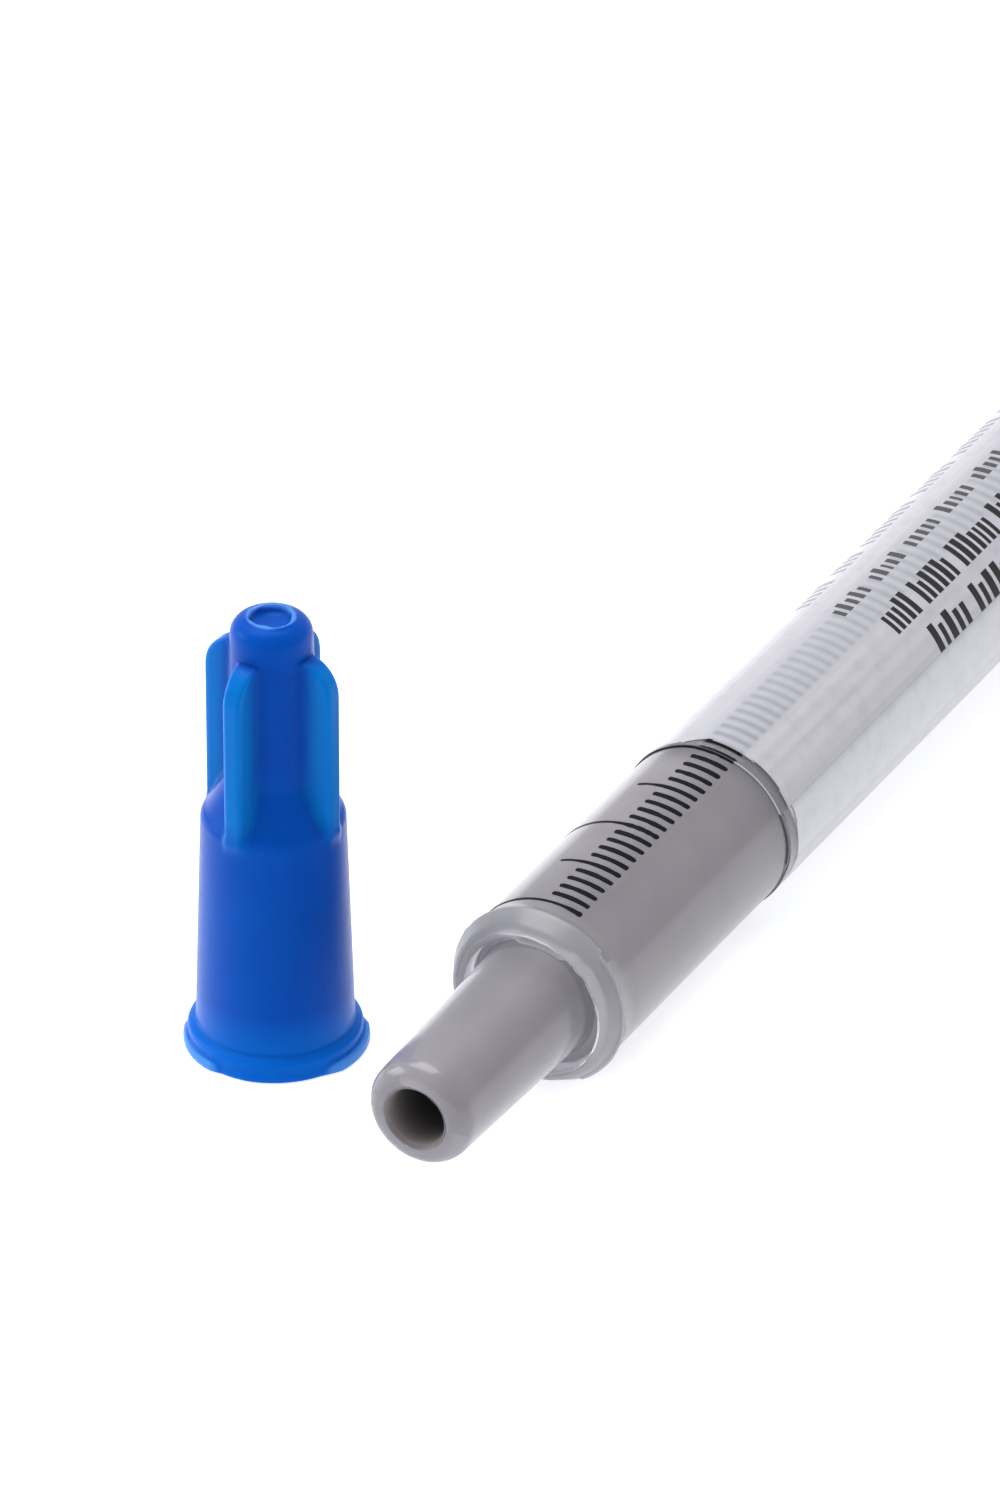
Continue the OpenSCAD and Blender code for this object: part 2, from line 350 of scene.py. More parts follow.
def let_lamps_through(material, shader):
    """Lamplight passes a clear piece unbent, so that what is inside it is lit."""
    tree = material.node_tree
    clear = tree.nodes.new("ShaderNodeBsdfTransparent")
    clear.inputs["Color"].default_value = (0.85, 0.85, 0.88, 1.0)
    by_ray(tree, "Is Shadow Ray", shader, clear, "Material Output")


def clear_plastic(name, tint, clearness, rough, grain, height):
    """Clear polypropylene; the less the clearness, the milkier it is."""
    made, shader = principled(name)
    shader.inputs["Base Color"].default_value = tint
    shader.inputs["Transmission Weight"].default_value = clearness
    shader.inputs["IOR"].default_value = 1.49
    skin_on(made, shader, grain=grain, rough=rough, spread=0.06, ripple=2.8, height=height)
    let_lamps_through(made, shader)
    return made


def wall_finish(centre):
    """Picks the milky plastic for the thick collar and flange, and the clearest for the tube."""
    in_collar = collar_x - 0.2 < centre.x < collar_end + 0.1 and centre.yz.length > groove_r - 0.3
    if in_collar or centre.x > flange_front - 0.7:
        return in_milky
    return in_thin if centre.x > thin_from else in_clear


def barrel_shape(x, r, angle):
    """Flats on the flange, and the marks that the mould leaves on collar and groove."""
    if x > flange_front - 0.7 and r > barrel_r + 0.8:
        reach = flat_half / max(abs(math.cos(math.radians(angle))), 1e-3)
        return x, r * min(1.0, reach / flange_r)
    if collar_x - 0.1 < x < collar_end + 0.05 and r > groove_r + 0.09:
        behind = plateau(angle, -150.0, -46.0, 3.0) * (x > collar_x + 0.8)
        torn = hump(angle, -50.0, 9.0) + 0.7 * hump(angle, 58.0, 7.0) + 0.15
        rag = noise.noise(Vector((angle * 0.16, x * 2.5, 7.0)))
        gate_lip = plateau(angle, -27.0, 22.0, 6.0) * (r < groove_r + 0.2)
        return x - 0.17 * behind + 0.05 * torn * rag - 0.07 * gate_lip, r + 0.07 * torn * rag
    if collar_x - 0.1 < x < groove_floor + 0.1 and groove_r - 0.1 < r:
        gate = plateau(angle, -31.0, 10.0, 6.0)
        nub = 0.07 * hump(angle, -44.0, 7.0)
        return x, r + 0.13 * math.cos(math.radians(angle + 80.0)) - 0.2 * gate - nub
    return x, r


barrel_outline = (
    bend(mouth_bevel, outlet_r + mouth_bevel, mouth_bevel, -90, -180, 6)
    + bend(0.70, nozzle_r - 0.68, 0.70, 172, 90, 10)
    + [(x, nozzle_r + cone_slope * x) for x in (1.0, 2.5, 4.0, 5.5, 7.0, 7.9, 8.3)]
    + bend(groove_floor - 0.22, nozzle_r + cone_slope * groove_floor + 0.22, 0.22, -90, 0, 5)
    + [(groove_floor, groove_r - 0.06), (groove_floor - 0.06, groove_r - 0.02)]
    + bend(collar_x + 0.06, groove_r + 0.06, 0.06, -90, -180, 3)
    + [(collar_x, groove_r + 0.10), (collar_x, groove_r + 0.16)]
    + bend(collar_x + 0.12, collar_r - 0.62, 0.12, 180, 120, 4)
    + [(collar_x + x, collar_r - 0.46 + 0.53 * x) for x in (0.18, 0.32, 0.46, 0.60, 0.72)]
    + bend(collar_end - 0.20, collar_r - 0.12, 0.12, 112, 0, 6)
    + [(collar_end - 0.03, barrel_r + 0.04), (collar_end + 0.04, barrel_r)]
    + [(x, barrel_r) for x in (zero_x, 16.0, 22.0, 40.0, 60.0, 70.0)]
    + bend(flange_front - 0.6, barrel_r + 0.6, 0.6, -90, 0, 6)
    + [(flange_front, 4.6), (flange_front, 6.6)]
    + bend(flange_front + 0.3, flange_r - 0.3, 0.3, 180, 90, 5)
    + bend(flange_back - 0.3, flange_r - 0.3, 0.3, 90, 0, 5)
    + [(flange_back, 6.6), (flange_back, 4.6)]
    + bend(flange_back - 0.15, bore_r + 0.40, 0.15, 0, -90, 4)
    + [(flange_back - 0.6, bore_r)]
    + [(flange_front - 1.4, bore_r), (flange_front - 1.8, bore_r - 0.1)]
    + [(flange_front - 2.2, bore_r - 0.1), (flange_front - 2.6, bore_r)]
    + [(60.0, bore_r), (30.0, bore_r), (chamber_x, bore_r), (funnel_x, outlet_r), (4.0, outlet_r)]
)
barrel_plastics = [
    clear_plastic("clear_polypropylene", (0.90, 0.88, 0.93, 1.0),
                  clearness=0.90, rough=0.20, grain=1.4, height=0.005),
    clear_plastic("milky_polypropylene", (0.66, 0.66, 0.70, 1.0),
                  clearness=0.74, rough=0.34, grain=0.4, height=0.022),
    clear_plastic("thin_polypropylene", (0.93, 0.93, 0.95, 1.0),
                  clearness=0.97, rough=0.16, grain=1.4, height=0.005),
]
piece("barrel_moulding", [turned(barrel_outline, 240, barrel_shape)], barrel_plastics,
      "syringe", ["barrel"], face_material=wall_finish)

# ---------------------------------------------------------------------------------------------
# Graduations: a hundred and one black lines printed round the barrel, a hundredth of a millilitre
# apart. The ink sits on the plastic; long lines thin out as they run round the side.
line_count = 101
line_pitch = millilitre / (line_count - 1)
ink_r = barrel_r + 0.012
ink_half = 0.121   # half the width of a line
line_from = -21.0   # degrees from the top at which every line starts, and where each kind ends
short_to = 5.0
medium_to = 21.5
long_to = 150.0


def bar_faces(count):
    """Faces of a closed bar that has four corners at each of count + 1 stations."""
    faces = [(0, 1, 3, 2), (4 * count, 4 * count + 2, 4 * count + 3, 4 * count + 1)]
    for i in range(count):
        a, b = 4 * i, 4 * i + 4
        faces += [(a, b, b + 1, a + 1), (a + 2, a + 3, b + 3, b + 2)]
        faces += [(a, a + 2, b + 2, b), (a + 1, b + 1, b + 3, a + 3)]
    return faces


def stroke(x, half_width, start, stop, low, high, step=2.5):
    """A raised line round the barrel at x, with blunt ends; half_width is given by the angle."""
    count = max(8, int((stop - start) / step))
    ease = [0.5 - 0.5 * math.cos(math.pi * i / count) for i in range(count + 1)]
    verts = []
    for share in ease:
        angle = start + (stop - start) * share
        run = math.radians(min(angle - start, stop - angle)) * high
        half = half_width(angle)
        blunt = 0.6 * half
        if run < blunt:
            half *= math.sqrt(max(1.0 - (1.0 - run / blunt) ** 2, 0.06))
        verts.extend(round_at(x + dx, r, angle) for r in (low, high) for dx in (-half, half))
    return verts, bar_faces(count)


def black_ink():
    """Matt black printing ink with a slightly blue cast."""
    made, shader = principled("scale_ink")
    shader.inputs["Base Color"].default_value = (0.007, 0.006, 0.011, 1.0)
    shader.inputs["Specular IOR Level"].default_value = 0.05
    skin_on(made, shader, grain=0.15, rough=0.42, spread=0.2, ripple=0.6, height=0.004)
    return made


def line_half_width(index, thins):
    """Gives half a ragged line's width at each angle; one that thins does so as it runs round."""
    broad_to = -14.0 if index == 0 else short_to - 8.0
    fade = 6.0 if index == 0 else 14.0

    def half_width(angle):
        rag = noise.noise(Vector((angle * 0.45, index * 3.7, 0.5)))
        thin = 1.0 - 0.42 * min(1.0, max(0.0, (angle - broad_to) / fade)) * thins
        return ink_half * thin * (1.0 + 0.22 * rag)
    return half_width


lines = []
for index in range(line_count):
    end = long_to if index % 10 == 0 else medium_to if index % 5 == 0 else short_to
    wander = 0.6 * noise.noise(Vector((index * 1.9, 4.2, 0.0)))
    lines.append(stroke(
        zero_x + index * line_pitch, line_half_width(index, index % 5 == 0),
        line_from + wander, end + wander, barrel_r - 0.004, ink_r))
piece("printed_scale", lines, [black_ink()], "syringe", ["scale_marks"])

# ---------------------------------------------------------------------------------------------
# Paste: grey and smooth, it fills the barrel in front of the piston and most of the nozzle. The
# last stretch of the nozzle is only coated. The column in the barrel shortens with the plunger.
wet = 0.01   # the paste lies on the plastic with no air between
piston_x = zero_x + millilitre
bare_tip = 2.4   # the stretch behind the mouth that is only coated
coat = 0.03


def offset_from(tree, origin):
    """The vector in metres from an origin to the point that is shaded."""
    place = tree.nodes.new("ShaderNodeTexCoord")
    offset = tree.nodes.new("ShaderNodeVectorMath")
    offset.operation = "SUBTRACT"
    offset.inputs[1].default_value = origin
    tree.links.new(place.outputs["Object"], offset.inputs[0])
    return offset.outputs[0]


def along(tree, vector, direction):
    """How far a vector goes in a direction."""
    dot = tree.nodes.new("ShaderNodeVectorMath")
    dot.operation = "DOT_PRODUCT"
    dot.inputs[1].default_value = direction
    tree.links.new(vector, dot.inputs[0])
    return dot.outputs["Value"]


def reach_of(tree, a, b):
    """Millimetres from an axis, for a point that is a and b metres from it."""
    square = sums(tree, "ADD", sums(tree, "POWER", a, 2.0), sums(tree, "POWER", b, 2.0))
    return sums(tree, "DIVIDE", sums(tree, "SQRT", square, 0.0), MM)


def barrel_place_group():
    """Where a point lies on the barrel.

    Along is in millimetres from the mouth, Round in degrees from the top, and Reach in millimetres
    from the axis.
    """
    names = ("Along", "Round", "Reach")
    outputs = [(name, "NodeSocketFloat") for name in names]
    group, _, result = new_group("barrel_place", [], outputs)
    from_mouth = offset_from(group, mouth)
    back, left, up = [along(group, from_mouth, way) for way in (barrel_axis, side, raised)]
    group.links.new(sums(group, "DIVIDE", back, MM), result.inputs["Along"])
    turn = sums(group, "ARCTAN2", left, up)
    group.links.new(sums(group, "MULTIPLY", turn, 180.0 / math.pi), result.inputs["Round"])
    group.links.new(reach_of(group, left, up), result.inputs["Reach"])
    return group


barrel_place = barrel_place_group()


def place_on_barrel(tree):
    """A barrel_place node in a material."""
    here = tree.nodes.new("ShaderNodeGroup")
    here.node_tree = barrel_place
    return here


def clouds(tree, scale, detail):
    """Cloudy noise from 0 to 1 with a scale per millimetre."""
    place = tree.nodes.new("ShaderNodeTexCoord")
    cloud = tree.nodes.new("ShaderNodeTexNoise")
    cloud.inputs["Scale"].default_value = scale / MM
    cloud.inputs["Detail"].default_value = detail
    tree.links.new(place.outputs["Object"], cloud.inputs["Vector"])
    return cloud.outputs["Fac"]


def between(tree, value, low, high, soft):
    """A mask that is 1 where value lies between low and high, each end soft wide."""
    rise = sums(tree, "DIVIDE", sums(tree, "SUBTRACT", value, low - soft / 2), soft, clamp=True)
    fall = sums(tree, "DIVIDE", sums(tree, "SUBTRACT", high + soft / 2, value), soft, clamp=True)
    return sums(tree, "MULTIPLY", rise, fall)


def tinted(tree, mask, colour, shade):
    """A colour turned towards a shade where the mask is 1."""
    mix = tree.nodes.new("ShaderNodeMix")
    mix.data_type = "RGBA"
    tree.links.new(mask, mix.inputs["Factor"])
    for socket, value in ((mix.inputs["A"], colour), (mix.inputs["B"], shade)):
        if isinstance(value, tuple):
            socket.default_value = value
        else:
            tree.links.new(value, socket)
    return mix.outputs["Result"]


def grey_paste():
    """Cloudy grey; a brownish smear at the mouth that is also painted light, and painted shade deep in
    the outlet and on one side.
    """
    made, shader = principled("grey_paste")
    tree = made.node_tree
    shades = tree.nodes.new("ShaderNodeValToRGB")
    shades.color_ramp.elements[0].position = 0.3
    shades.color_ramp.elements[0].color = (0.124, 0.114, 0.127, 1.0)
    shades.color_ramp.elements[1].position = 0.7
    shades.color_ramp.elements[1].color = (0.150, 0.138, 0.152, 1.0)
    tree.links.new(clouds(tree, 0.6, 3.0), shades.inputs["Fac"])
    here = place_on_barrel(tree)
    in_bore = between(tree, here.outputs["Reach"], -1.0, outlet_r - 0.012, 0.02)
    # Lighter brownish paste at the mouth: partly a smear, partly painted light in the bore.
    smear_and_painted_light = sums(tree, "MULTIPLY", in_bore, between(tree, here.outputs["Along"], -1.0, 0.9, 1.2))
    # Painted shade deep in the outlet.
    painted_bore_shade = sums(tree, "MULTIPLY", in_bore, between(tree, here.outputs["Along"], 1.15, 3.4, 2.2))
    # Painted shade on one side of the nozzle.
    painted_shade_side = sums(tree, "MULTIPLY", between(tree, here.outputs["Along"], 3.0, 9.0, 4.0),
                     between(tree, here.outputs["Round"], -10.0, 62.0, 40.0))
    colour = tinted(tree, sums(tree, "MULTIPLY", painted_shade_side, 0.55), shades.outputs["Color"],
                    (0.070, 0.063, 0.072, 1.0))
    colour = tinted(tree, smear_and_painted_light, colour, (0.27, 0.235, 0.235, 1.0))
    colour = tinted(tree, painted_bore_shade, colour, (0.060, 0.056, 0.056, 1.0))
    tree.links.new(colour, shader.inputs["Base Color"])
    skin_on(made, shader, grain=0.3, rough=0.45, spread=0.15, ripple=1.2, height=0.01)
    return made


paste_finish = grey_paste()
nozzle_paste = turned([
    *bend(mouth_bevel, outlet_r + mouth_bevel, mouth_bevel + coat, -150, -90, 6),
    (1.0, outlet_r - coat), (bare_tip, outlet_r - coat),
    (bare_tip + 0.25, outlet_r - 0.45), (bare_tip + 0.3, 0.0),
    (chamber_x, 0.0), (chamber_x, bore_r + wet), (funnel_x, outlet_r + wet),
    *reversed(bend(mouth_bevel, outlet_r + mouth_bevel, mouth_bevel - wet, -150, -90, 6)),
], 96)
piece("paste_in_nozzle", [nozzle_paste], [paste_finish], "syringe", ["paste"])

column_end = piston_x - 0.02
paste_column = turned([
    (chamber_x, 0.0), (chamber_x, bore_r + wet), (column_end, bore_r + wet), (column_end, 0.0),
], 96)
column = piece("paste_column", [paste_column], [paste_finish], "syringe", ["paste"])
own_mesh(column)

# ---------------------------------------------------------------------------------------------
# Piston: black rubber, with a land at each end that seals on the bore. It is pushed over the
# button at the rod's tip and held there by its own stretch.
piston_len = 5.6
piston_back = piston_x + piston_len
piston_r = bore_r - 0.04
neck_r = 0.8
button_r = 1.25
button_back = piston_back - 1.3
button_front = button_back - 1.1


def black_rubber():
    """Soft black rubber with a dull, slightly uneven skin."""
    made, shader = principled("piston_rubber")
    shader.inputs["Base Color"].default_value = (0.012, 0.012, 0.014, 1.0)
    shader.inputs["Specular IOR Level"].default_value = 0.2
    skin_on(made, shader, grain=0.25, rough=0.5, spread=0.2, ripple=1.5, height=0.012)
    return made


piston = turned(
    [(piston_x, 0.0), (piston_x, piston_r - 0.35)]
    + bend(piston_x + 0.3, piston_r - 0.3, 0.3, 180, 90, 5)
    + bend(piston_x + 0.9, piston_r - 0.2, 0.2, 90, 10, 4)
    + bend(piston_x + 1.5, piston_r - 0.12, 0.2, 210, 270, 3)
    + bend(piston_back - 1.5, piston_r - 0.12, 0.2, 270, 330, 3)
    + bend(piston_back - 0.9, piston_r - 0.2, 0.2, 170, 90, 4)
    + bend(piston_back - 0.2, piston_r - 0.2, 0.2, 90, 0, 4)
    + [(piston_back, neck_r), (button_back, neck_r), (button_back, button_r),
       (button_front, button_r), (button_front, 0.0)],
    96)
piece("rubber_piston", [piston], [black_rubber()], "plunger", ["piston"])

# ---------------------------------------------------------------------------------------------
# Plunger rod: four ribs, a round shoulder behind the piston and a dished thumb rest, moulded in
# one piece of milky white polypropylene. Gussets carry the thumb rest on the ribs.
rib_half = 0.4
rib_r = bore_r - 0.2
shoulder_r = bore_r - 0.15
thumb_gap = 7.0   # left between flange and thumb rest when the piston is at the zero line
thumb_front = piston_x + flange_back + thumb_gap - zero_x
thumb_back = thumb_front + 1.6
thumb_r = 4.3
gusset_r = thumb_r - 1.2


def white_plastic():
    """Milky white polypropylene, which lets a little light into its surface."""
    made, shader = principled("rod_polypropylene")
    shader.inputs["Base Color"].default_value = (0.52, 0.53, 0.55, 1.0)
    shader.inputs["Subsurface Weight"].default_value = 0.25
    shader.inputs["Subsurface Radius"].default_value = (1.0, 1.0, 1.0)
    shader.inputs["Subsurface Scale"].default_value = 0.8 * MM
    skin_on(made, shader, grain=0.4, rough=0.38, spread=0.15, ripple=2.5, height=0.015)
    return made


def cross_ribs(stations):
    """Four ribs as one cross-shaped bar through (x, reach) stations, its long edges broken."""
    edge = 0.08
    verts = []
    for x, reach in stations:
        for quarter in range(4):
            c, s = math.cos(quarter * math.pi / 2), math.sin(quarter * math.pi / 2)
            corner = [(rib_half, rib_half), (reach - edge, rib_half), (reach, rib_half - edge),
                      (reach, edge - rib_half), (reach - edge, -rib_half)]
            verts.extend((x, c * a - s * b, s * a + c * b) for a, b in reversed(corner))
    n = 20   # five points on each of four ribs
    faces = [tuple(range(n)), tuple(reversed(range(n * (len(stations) - 1), n * len(stations))))]
    for i in range(len(stations) - 1):
        for k in range(n):
            a, b = i * n + k, i * n + (k + 1) % n
            faces.append((a, a + n, b + n, b))
    return verts, faces


rod_head = turned(
    [(button_front, 0.0)]
    + bend(button_front + 0.2, button_r - 0.2, 0.2, 180, 90, 4)
    + [(button_back, button_r), (button_back, neck_r), (piston_back, neck_r)]
    + bend(piston_back + 0.12, shoulder_r - 0.12, 0.12, 180, 90, 3)
    + bend(piston_back + 0.78, shoulder_r - 0.12, 0.12, 90, 0, 3)
    + [(piston_back + 0.9, 0.0)],
    96)
grip_rings = []
for ring in (2.7, 2.0, 1.3):
    grip_rings += [(thumb_back - 0.3, ring + 0.16), (thumb_back - 0.18, ring + 0.06),
                   (thumb_back - 0.18, ring - 0.06), (thumb_back - 0.3, ring - 0.16)]
thumb_rest = turned(
    [(thumb_front, 0.0), (thumb_front, thumb_r - 0.35)]
    + bend(thumb_front + 0.3, thumb_r - 0.3, 0.3, 180, 90, 6)
    + bend(thumb_back - 0.3, thumb_r - 0.3, 0.3, 90, 0, 6)
    + [(thumb_back, thumb_r - 1.1), (thumb_back - 0.3, thumb_r - 1.35)]
    + grip_rings + [(thumb_back - 0.3, 0.0)],
    120)
ribs = cross_ribs([
    (piston_back + 0.5, rib_r), (thumb_front - 2.4, rib_r), (thumb_front - 1.6, rib_r + 0.18),
    (thumb_front - 0.8, rib_r + 0.48), (thumb_front + 0.2, gusset_r)])
piece("ribbed_rod", [rod_head, ribs, thumb_rest], [white_plastic()], "plunger",
      ["plunger_rod"])

# ---------------------------------------------------------------------------------------------
# Label: a strip of clear film, silvery white on its back except for a narrow margin at the front.
# It is wound once round the barrel over the lines, a little askew, and its end is lapped.
label_x = 21.5
label_end = label_x + 48.0
film = 0.04   # its thickness
label_r = ink_r + 0.004   # inside of the film
lap = 34.0   # degrees of overlap
lap_lift = film * 1.05
seam = -65.0   # where the free end lies, in degrees from the top
wound = 0.12   # how far it creeps along the barrel in one turn
turn_count = 170   # steps round the barrel
on_film, on_margin, on_shaded_edge, on_highlit_edge = range(4)   # the order of the label's materials


def label_edge_x(share, front):
    """Where the slightly wavy front or back edge lies after a share of one turn."""
    base = label_x if front else label_end
    return base + wound * share + 0.025 * math.sin(share * 19.0) + 0.012 * math.sin(share * 47.0)


def margin_at(angle):
    """Width of the clear margin, which narrows as it goes over the top."""
    return 0.65 - 0.42 * plateau(angle, 10.0, 150.0, 14.0)


def label_sheet():
    """The film as a closed thin sheet wound from the under end of the lap to its free end."""
    stations = [("edge", 0.0), ("edge", 0.05), ("margin", -0.03), ("margin", 0.03)]
    stations += [("mid", 0.1 * i) for i in range(1, 10)] + [("end", -0.05), ("end", 0.0)]
    verts = []
    for k in range(turn_count + 1):
        share = (360.0 + lap) * k / turn_count / 360.0
        angle = seam - lap + 360.0 * share
        lift = lap_lift * min(1.0, max(0.0, (share * 360.0 - 350.0) / 10.0))
        front, back = label_edge_x(share, True), label_edge_x(share, False)
        thick = film if k < turn_count else 0.25 * film
        for kind, value in stations:
            x = {"edge": front + value, "margin": front + margin_at(angle) + value,
                 "mid": front + (back - front) * value, "end": back + value}[kind]
            for r in (label_r + lift, label_r + lift + thick):
                verts.append(round_at(x, r, angle))
    n = 2 * len(stations)
    faces = []
    for k in range(turn_count):
        for i in range(len(stations) - 1):
            a, b = k * n + 2 * i, (k + 1) * n + 2 * i
            faces += [(a, b, b + 2, a + 2), (a + 1, a + 3, b + 3, b + 1)]
        a, b = k * n, (k + 1) * n
        faces += [(a, a + 1, b + 1, b), (a + n - 2, b + n - 2, b + n - 1, a + n - 1)]
    last = turn_count * n
    for i in range(len(stations) - 1):
        faces += [(2 * i, 2 * i + 2, 2 * i + 3, 2 * i + 1)]
        faces += [(last + 2 * i, last + 2 * i + 1, last + 2 * i + 3, last + 2 * i + 2)]
    return verts, faces


def label_zone(centre):
    """Picks the silvery film, the clear margin, or the cut edge at the front, painted shaded or
    highlit.
    """
    turn = math.degrees(math.atan2(centre.y, centre.z))
    share = ((turn - (seam - lap)) % 360.0) / 360.0
    if math.hypot(centre.y, centre.z) > label_r + film * 1.6:
        share += 1.0 if share < 0.5 else 0.0
    run = centre.x - label_edge_x(share, True)
    if run < 0.04:
        # The cut edge is painted: dark as shade below the seam and at the top, light as a highlight
        # between.
        return on_shaded_edge if turn < seam or turn > line_from + 1.0 else on_highlit_edge
    return on_margin if run < margin_at(turn) else on_film


def lines_under(tree, here, half, soft):
    """A mask of the short lines under the film; half and soft are shares of their pitch."""
    past_zero = sums(tree, "SUBTRACT", here.outputs["Along"], zero_x - line_pitch / 2)
    phase = sums(tree, "FRACT", sums(tree, "DIVIDE", past_zero, line_pitch), 0.0)
    line = between(tree, phase, 0.5 - half, 0.5 + half, soft)
    return sums(tree, "MULTIPLY", line, between(tree, here.outputs["Round"], line_from, short_to, 2.0))


def silvery_film():
    """Silvery white film: streaks, mottle, painted shade along the seam, and the lines under it
    showing through.
    """
    made, shader = principled("label_film")
    tree = made.node_tree
    here = place_on_barrel(tree)
    ghost = lines_under(tree, here, 0.19, 0.4)
    streak_place = tree.nodes.new("ShaderNodeCombineXYZ")
    tree.links.new(sums(tree, "MULTIPLY", here.outputs["Along"], 0.03), streak_place.inputs[0])
    tree.links.new(sums(tree, "MULTIPLY", here.outputs["Round"], 0.16), streak_place.inputs[1])
    streak = tree.nodes.new("ShaderNodeTexNoise")
    streak.inputs["Scale"].default_value = 1.0
    streak.inputs["Detail"].default_value = 5.0
    tree.links.new(streak_place.outputs[0], streak.inputs["Vector"])
    lapped = between(tree, here.outputs["Round"], seam - lap, seam, 0.6)
    # Painted shade: a soft grey band along the seam's step.
    painted_seam_shade = between(tree, here.outputs["Round"], seam - 1.0, seam + 4.0, 6.0)
    over_lines = between(tree, here.outputs["Round"], line_from - 1.0, short_to + 3.0, 7.0)
    colour = tinted(tree, streak.outputs["Fac"], (0.34, 0.335, 0.37, 1.0), (0.51, 0.50, 0.54, 1.0))
    colour = tinted(tree, lapped, colour, (0.47, 0.47, 0.50, 1.0))
    colour = tinted(tree, sums(tree, "MULTIPLY", painted_seam_shade, 0.35), colour, (0.26, 0.26, 0.29, 1.0))
    colour = tinted(tree, sums(tree, "MULTIPLY", over_lines, 0.55), colour, (0.33, 0.34, 0.38, 1.0))
    near_front = between(tree, here.outputs["Along"], 10.0, label_x + 3.0, 6.0)
    depth = sums(tree, "ADD", sums(tree, "MULTIPLY", near_front, 0.35), 0.5)
    colour = tinted(tree, sums(tree, "MULTIPLY", ghost, depth), colour, (0.20, 0.20, 0.23, 1.0))
    spots = between(tree, clouds(tree, 1.3, 3.0), 0.58, 2.0, 0.16)
    colour = tinted(tree, sums(tree, "MULTIPLY", spots, 0.16), colour, (0.24, 0.24, 0.28, 1.0))
    tree.links.new(colour, shader.inputs["Base Color"])
    skin_on(made, shader, grain=0.9, rough=0.3, spread=0.10, ripple=2.4, height=0.014)
    return made


def clear_film():
    """The film without its silvery back, painted dark where it lies on a short line."""
    made, shader = principled("clear_film_margin")
    tree = made.node_tree
    wetted = lines_under(tree, place_on_barrel(tree), 0.25, 0.08)
    colour = tinted(tree, wetted, (0.86, 0.85, 0.90, 1.0), (0.004, 0.004, 0.008, 1.0))
    tree.links.new(colour, shader.inputs["Base Color"])
    shader.inputs["Transmission Weight"].default_value = 0.96
    shader.inputs["IOR"].default_value = 1.16
    skin_on(made, shader, grain=0.5, rough=0.15, spread=0.08, ripple=2.0, height=0.006)
    let_lamps_through(made, shader)
    return made


def cut_edge(name, shade):
    """The film's cut edge in one grey: a painted shade or a painted highlight."""
    made, shader = principled(name)
    shader.inputs["Base Color"].default_value = (shade, shade, shade * 1.05, 1.0)
    skin_on(made, shader, grain=0.3, rough=0.3, spread=0.1, ripple=1.0, height=0.004)
    return made


# The cut edge's two greys are painted shade and painted highlight.
label_finishes = [silvery_film(), clear_film(),
                  cut_edge("edge_shade_painted", 0.05), cut_edge("edge_highlight_painted", 0.42)]
piece("wound_label", [label_sheet()], label_finishes, "syringe", ["label"],
      face_material=label_zone)

# ---------------------------------------------------------------------------------------------
# Label print: rows of plain upright bars along the barrel, where a maker's wording would be. They
# are printed on the film in greys of different strength; the lowest row is larger and heavier.
film_r = label_r + film
print_inks = {"pale": 0.30, "grey": 0.07, "dark": 0.02}
print_rows = [   # start, degrees from the top, height, bar width, gap, ink
    (32.7, 37.0, 0.90, 0.22, 0.24, "pale"),
    (32.0, 2.5, 0.68, 0.24, 0.22, "grey"),
    (32.8, -27.0, 1.15, 0.26, 0.16, "dark"),
    (34.2, -55.0, 1.10, 0.32, 0.22, "dark"),
]
print_end = label_end - 4.0


def print_ink(name, shade):
    """Matt printing ink, a cool grey of the given shade."""
    made, shader = principled(name)
    shader.inputs["Base Color"].default_value = (shade, shade * 0.96, shade * 1.08, 1.0)
    shader.inputs["Specular IOR Level"].default_value = 0.15
    skin_on(made, shader, grain=0.15, rough=0.45, spread=0.15, ripple=0.8, height=0.004)
    return made


def bar(x0, x1, start, stop, low, high):
    """A thin raised bar along the barrel from x0 to x1, wrapped round it from start to stop."""
    steps = 5
    verts = []
    for i in range(steps + 1):
        angle = start + (stop - start) * i / steps
        verts.extend(round_at(x, r, angle) for r in (low, high) for x in (x0, x1))
    return verts, bar_faces(steps)


def print_bars(row_index, row):
    """One row of uneven bars, with a wider gap after every few of them."""
    x, at, height, wide, gap, _ = row
    made = []
    count = 0
    word = 5   # the count of bars at which the next wide gap comes
    while x < print_end:
        chance = noise.noise(Vector((count * 1.37, row_index * 5.1, 2.0)))
        width = wide * (1.0 + 0.6 * chance)
        tall = height * (1.0 if chance > 0.1 else 0.78)
        half = math.degrees(tall / 2.0 / film_r)
        shift = math.degrees((height - tall) / 2.0 / film_r)
        middle = at - shift
        on_lap = seam - lap < middle - half and middle + half < seam
        low = film_r + (lap_lift if on_lap else 0.0)
        made.append(bar(x, x + width, middle - half, middle + half, low - 0.003, low + 0.006))
        x += width + gap
        count += 1
        if count == word:
            x += gap * 2.2
            word += 4 + (count + row_index) % 5
    return made


for ink, shade in print_inks.items():
    bars = []
    for i, row in enumerate(print_rows):
        if row[-1] == ink:
            bars += print_bars(i, row)
    piece("label_bars_" + ink, bars, [print_ink("print_" + ink, shade)], "syringe",
          ["label_print"])

